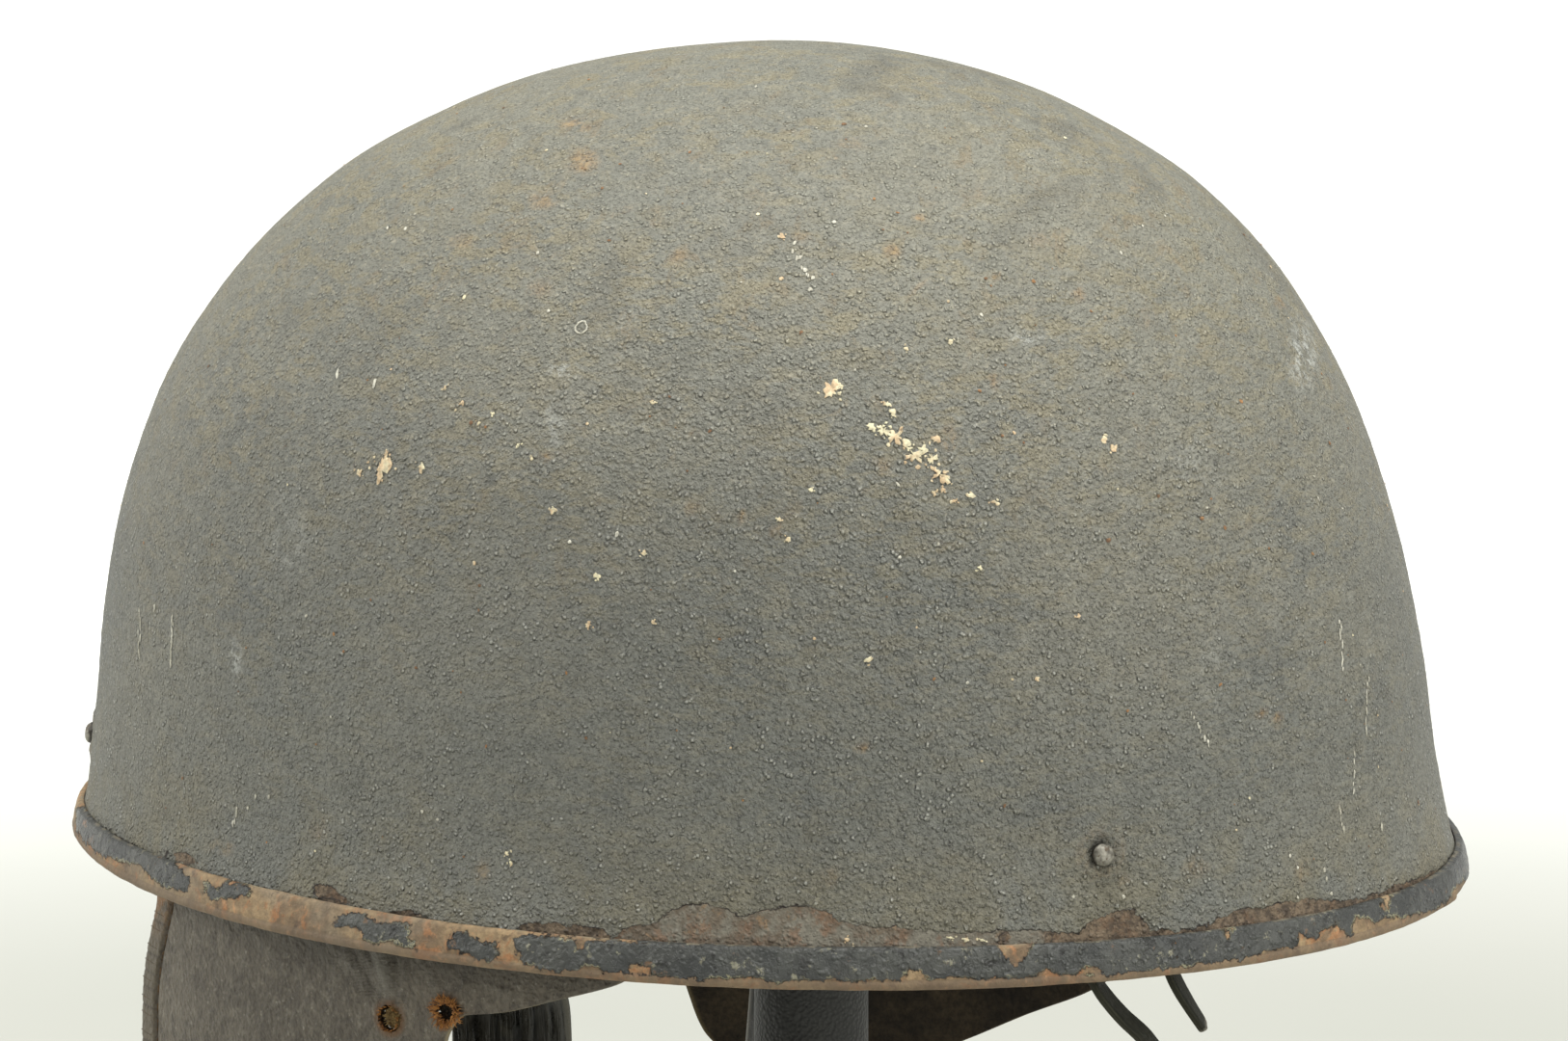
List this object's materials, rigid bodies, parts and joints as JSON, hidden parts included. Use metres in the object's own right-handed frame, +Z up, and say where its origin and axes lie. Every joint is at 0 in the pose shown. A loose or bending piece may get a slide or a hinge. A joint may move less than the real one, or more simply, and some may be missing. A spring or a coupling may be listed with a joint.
{
  "type": "despatch rider helmet on a display stand",
  "caption": "Wartime despatch rider's steel crash helmet, worn dark paint, folded rusty rim, leather ear flaps, chin strap and laces, on a plain post stand.",
  "frame": {"origin": "middle of the bounding box without the laces, on the surface that the stand's base rests on", "axes": "+Z up, -Y towards the brow, +X towards the wearer's left"},
  "size_m": [0.2344, 0.2864, 0.3625],
  "materials": {
    "painted_steel": "rough textured dark paint with chips, rust and pale drips",
    "rusty_rim": "dark paint worn to brown rust along the fold",
    "rivet_steel": "dark worn steel",
    "flap_leather": "dry grey-brown grain, creased, stitched hem",
    "strap_leather": "black, polished by wear, creased lengthwise",
    "lace_leather": "dark olive-black, flat, dry",
    "buckle_metal": "dull worn steel",
    "stand_post": "dark grey fine-textured paint",
    "stand_wood": "black-stained, satin"
  },
  "bodies": {
    "root": {"steel_shell": "painted_steel", "rim_band": "rusty_rim", "rivet_front_left": "rivet_steel", "rivet_rear_left": "rivet_steel", "rivet_front_right": "rivet_steel", "rivet_rear_right": "rivet_steel", "flap_left": "flap_leather", "flap_right": "flap_leather", "chin_strap": "strap_leather", "chin_buckle": "buckle_metal", "lace_long": "lace_leather", "lace_short": "lace_leather", "stand_post": "stand_post", "stand_pad": "stand_wood", "stand_base": "stand_wood"}
  },
  "joints": []
}
